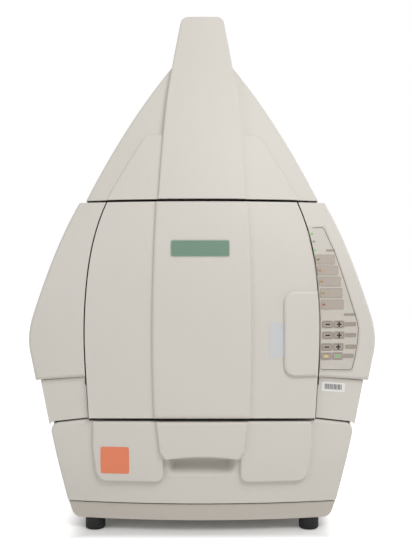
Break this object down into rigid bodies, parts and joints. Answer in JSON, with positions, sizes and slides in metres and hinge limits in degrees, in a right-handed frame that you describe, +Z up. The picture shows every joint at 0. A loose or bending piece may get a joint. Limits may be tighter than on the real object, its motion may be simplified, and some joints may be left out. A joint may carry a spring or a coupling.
{
  "type": "gel documentation system",
  "caption": "Benchtop darkroom cabinet with a lens tower, a left-hinged door, a lamp drawer, a key panel and a filter slide.",
  "frame": {"origin": "on the floor in the middle of the overall footprint", "axes": "+X to the right seen from the front, +Y to the back, +Z up"},
  "size_m": [0.61, 0.3598, 0.946],
  "materials": {
    "shell_plastic": "fine matte texture, warm putty grey",
    "foot_rubber": "matt black rubber",
    "frame_steel": "black powder coat",
    "zinc_steel": "zinc plated",
    "panel_steel": "fine textured paint",
    "key_rubber": "satin taupe",
    "overlay_film": "matt printed film",
    "light_lens": "clear green lens",
    "board_green": "circuit board",
    "black_plastic": "black moulded plastic",
    "white_enamel": "white enamel",
    "tube_glass": "white coated tube",
    "filter_glass": "dark violet filter glass",
    "seal_foam": "black foam",
    "magnet_steel": "plated magnet",
    "lens_black": "black anodised",
    "filter_amber": "anodised slide with filters"
  },
  "bodies": {
    "cabinet": {"base_plinth": "shell_plastic", "rubber_feet": "foot_rubber", "side_frames": "zinc_steel", "left_side_shell": "shell_plastic", "right_side_shell": "shell_plastic", "rear_panel": "panel_steel", "upper_shell": "shell_plastic", "tower_cover": "shell_plastic", "left_cheek": "shell_plastic", "right_cheek": "shell_plastic", "panel_overlay": "overlay_film", "status_lights": "light_lens", "key_board": "board_green", "front_frame": "frame_steel", "darkroom_liner": "frame_steel", "side_lamps": "white_enamel", "hinge_brackets": "zinc_steel", "catch_magnets": "magnet_steel", "camera_bracket": "frame_steel", "camera_body": "lens_black", "lens_barrel": "lens_black", "lens_motors": "zinc_steel", "power_supply": "zinc_steel", "fan_frame": "black_plastic", "rear_sockets": "black_plastic", "outer_rails": "zinc_steel"},
    "drawer": {"drawer_front": "shell_plastic", "drawer_tray": "zinc_steel", "inner_rails": "zinc_steel", "lamp_housing": "white_enamel", "uv_tubes": "tube_glass", "filter_glass": "filter_glass"},
    "door": {"door_panel": "shell_plastic", "door_liner": "black_plastic", "door_seal": "seal_foam", "hinge_arms": "zinc_steel", "strike_plates": "zinc_steel"},
    "filter_slide": {"filter_slide": "filter_amber"},
    "fan_rotor": {"fan_rotor": "black_plastic"},
    "power_rocker": {"power_rocker": "black_plastic"},
    "iris_ring": {"iris_ring": "lens_black"},
    "iris_pinion": {"iris_pinion": "zinc_steel"},
    "focus_ring": {"focus_ring": "lens_black"},
    "focus_pinion": {"focus_pinion": "zinc_steel"},
    "zoom_ring": {"zoom_ring": "lens_black"},
    "zoom_pinion": {"zoom_pinion": "zinc_steel"},
    "wide_key_1": {"wide_key_1": "key_rubber"},
    "wide_key_2": {"wide_key_2": "key_rubber"},
    "wide_key_3": {"wide_key_3": "key_rubber"},
    "wide_key_4": {"wide_key_4": "key_rubber"},
    "wide_key_5": {"wide_key_5": "key_rubber"},
    "iris_minus_key": {"iris_minus_key": "key_rubber"},
    "iris_plus_key": {"iris_plus_key": "key_rubber"},
    "zoom_minus_key": {"zoom_minus_key": "key_rubber"},
    "zoom_plus_key": {"zoom_plus_key": "key_rubber"},
    "focus_minus_key": {"focus_minus_key": "key_rubber"},
    "focus_plus_key": {"focus_plus_key": "key_rubber"},
    "lamp_minus_key": {"lamp_minus_key": "key_rubber"},
    "lamp_plus_key": {"lamp_plus_key": "key_rubber"}
  },
  "joints": [
    {"name": "door_hinge", "type": "hinge", "parent": "cabinet", "child": "door", "pos_m": [-0.227, -0.14, 0.361], "axis": [0, 0, -1], "range_deg": [0, 100]},
    {"name": "drawer_slide", "type": "slide", "parent": "cabinet", "child": "drawer", "axis": [0, -1, 0], "range_m": [0, 0.24]},
    {"name": "filter_shift", "type": "slide", "parent": "cabinet", "child": "filter_slide", "axis": [1, 0, 0], "range_m": [0, 0.07]},
    {"name": "fan_spin", "type": "hinge", "parent": "cabinet", "child": "fan_rotor", "pos_m": [0.1, 0.164, 0.118], "axis": [0, 1, 0], "continuous": true},
    {"name": "rocker_tip", "type": "hinge", "parent": "cabinet", "child": "power_rocker", "pos_m": [-0.099, 0.1735, 0.092], "axis": [1, 0, 0], "range_deg": [0, 14]},
    {"name": "iris_turn", "type": "hinge", "parent": "cabinet", "child": "iris_ring", "pos_m": [0, 0, 0.7], "axis": [0, 0, 1], "range_deg": [0, 90]},
    {"name": "iris_pinion_turn", "type": "hinge", "parent": "cabinet", "child": "iris_pinion", "pos_m": [0.0393, 0, 0.7], "axis": [0, 0, 1], "range_deg": [-301, 1]},
    {"name": "focus_turn", "type": "hinge", "parent": "cabinet", "child": "focus_ring", "pos_m": [0, 0, 0.722], "axis": [0, 0, 1], "range_deg": [0, 150]},
    {"name": "focus_pinion_turn", "type": "hinge", "parent": "cabinet", "child": "focus_pinion", "pos_m": [0, 0.0393, 0.722], "axis": [0, 0, 1], "range_deg": [-501, 1]},
    {"name": "zoom_turn", "type": "hinge", "parent": "cabinet", "child": "zoom_ring", "pos_m": [0, 0, 0.744], "axis": [0, 0, 1], "range_deg": [0, 120]},
    {"name": "zoom_pinion_turn", "type": "hinge", "parent": "cabinet", "child": "zoom_pinion", "pos_m": [-0.0393, 0, 0.744], "axis": [0, 0, 1], "range_deg": [-401, 1]},
    {"name": "wide_key_1_press", "type": "slide", "parent": "cabinet", "child": "wide_key_1", "axis": [0, 1, 0], "range_m": [0, 0.0008], "stiffness_N_per_m": 1500},
    {"name": "wide_key_2_press", "type": "slide", "parent": "cabinet", "child": "wide_key_2", "axis": [0, 1, 0], "range_m": [0, 0.0008], "stiffness_N_per_m": 1500},
    {"name": "wide_key_3_press", "type": "slide", "parent": "cabinet", "child": "wide_key_3", "axis": [0, 1, 0], "range_m": [0, 0.0008], "stiffness_N_per_m": 1500},
    {"name": "wide_key_4_press", "type": "slide", "parent": "cabinet", "child": "wide_key_4", "axis": [0, 1, 0], "range_m": [0, 0.0008], "stiffness_N_per_m": 1500},
    {"name": "wide_key_5_press", "type": "slide", "parent": "cabinet", "child": "wide_key_5", "axis": [0, 1, 0], "range_m": [0, 0.0008], "stiffness_N_per_m": 1500},
    {"name": "iris_minus_key_press", "type": "slide", "parent": "cabinet", "child": "iris_minus_key", "axis": [0, 1, 0], "range_m": [0, 0.0008], "stiffness_N_per_m": 1500},
    {"name": "iris_plus_key_press", "type": "slide", "parent": "cabinet", "child": "iris_plus_key", "axis": [0, 1, 0], "range_m": [0, 0.0008], "stiffness_N_per_m": 1500},
    {"name": "zoom_minus_key_press", "type": "slide", "parent": "cabinet", "child": "zoom_minus_key", "axis": [0, 1, 0], "range_m": [0, 0.0008], "stiffness_N_per_m": 1500},
    {"name": "zoom_plus_key_press", "type": "slide", "parent": "cabinet", "child": "zoom_plus_key", "axis": [0, 1, 0], "range_m": [0, 0.0008], "stiffness_N_per_m": 1500},
    {"name": "focus_minus_key_press", "type": "slide", "parent": "cabinet", "child": "focus_minus_key", "axis": [0, 1, 0], "range_m": [0, 0.0008], "stiffness_N_per_m": 1500},
    {"name": "focus_plus_key_press", "type": "slide", "parent": "cabinet", "child": "focus_plus_key", "axis": [0, 1, 0], "range_m": [0, 0.0008], "stiffness_N_per_m": 1500},
    {"name": "lamp_minus_key_press", "type": "slide", "parent": "cabinet", "child": "lamp_minus_key", "axis": [0, 1, 0], "range_m": [0, 0.0008], "stiffness_N_per_m": 1500},
    {"name": "lamp_plus_key_press", "type": "slide", "parent": "cabinet", "child": "lamp_plus_key", "axis": [0, 1, 0], "range_m": [0, 0.0008], "stiffness_N_per_m": 1500}
  ],
  "couplings": [
    {"joint": "iris_pinion_turn", "follows": "iris_turn", "ratio": -3.3333},
    {"joint": "focus_pinion_turn", "follows": "focus_turn", "ratio": -3.3333},
    {"joint": "zoom_pinion_turn", "follows": "zoom_turn", "ratio": -3.3333}
  ]
}
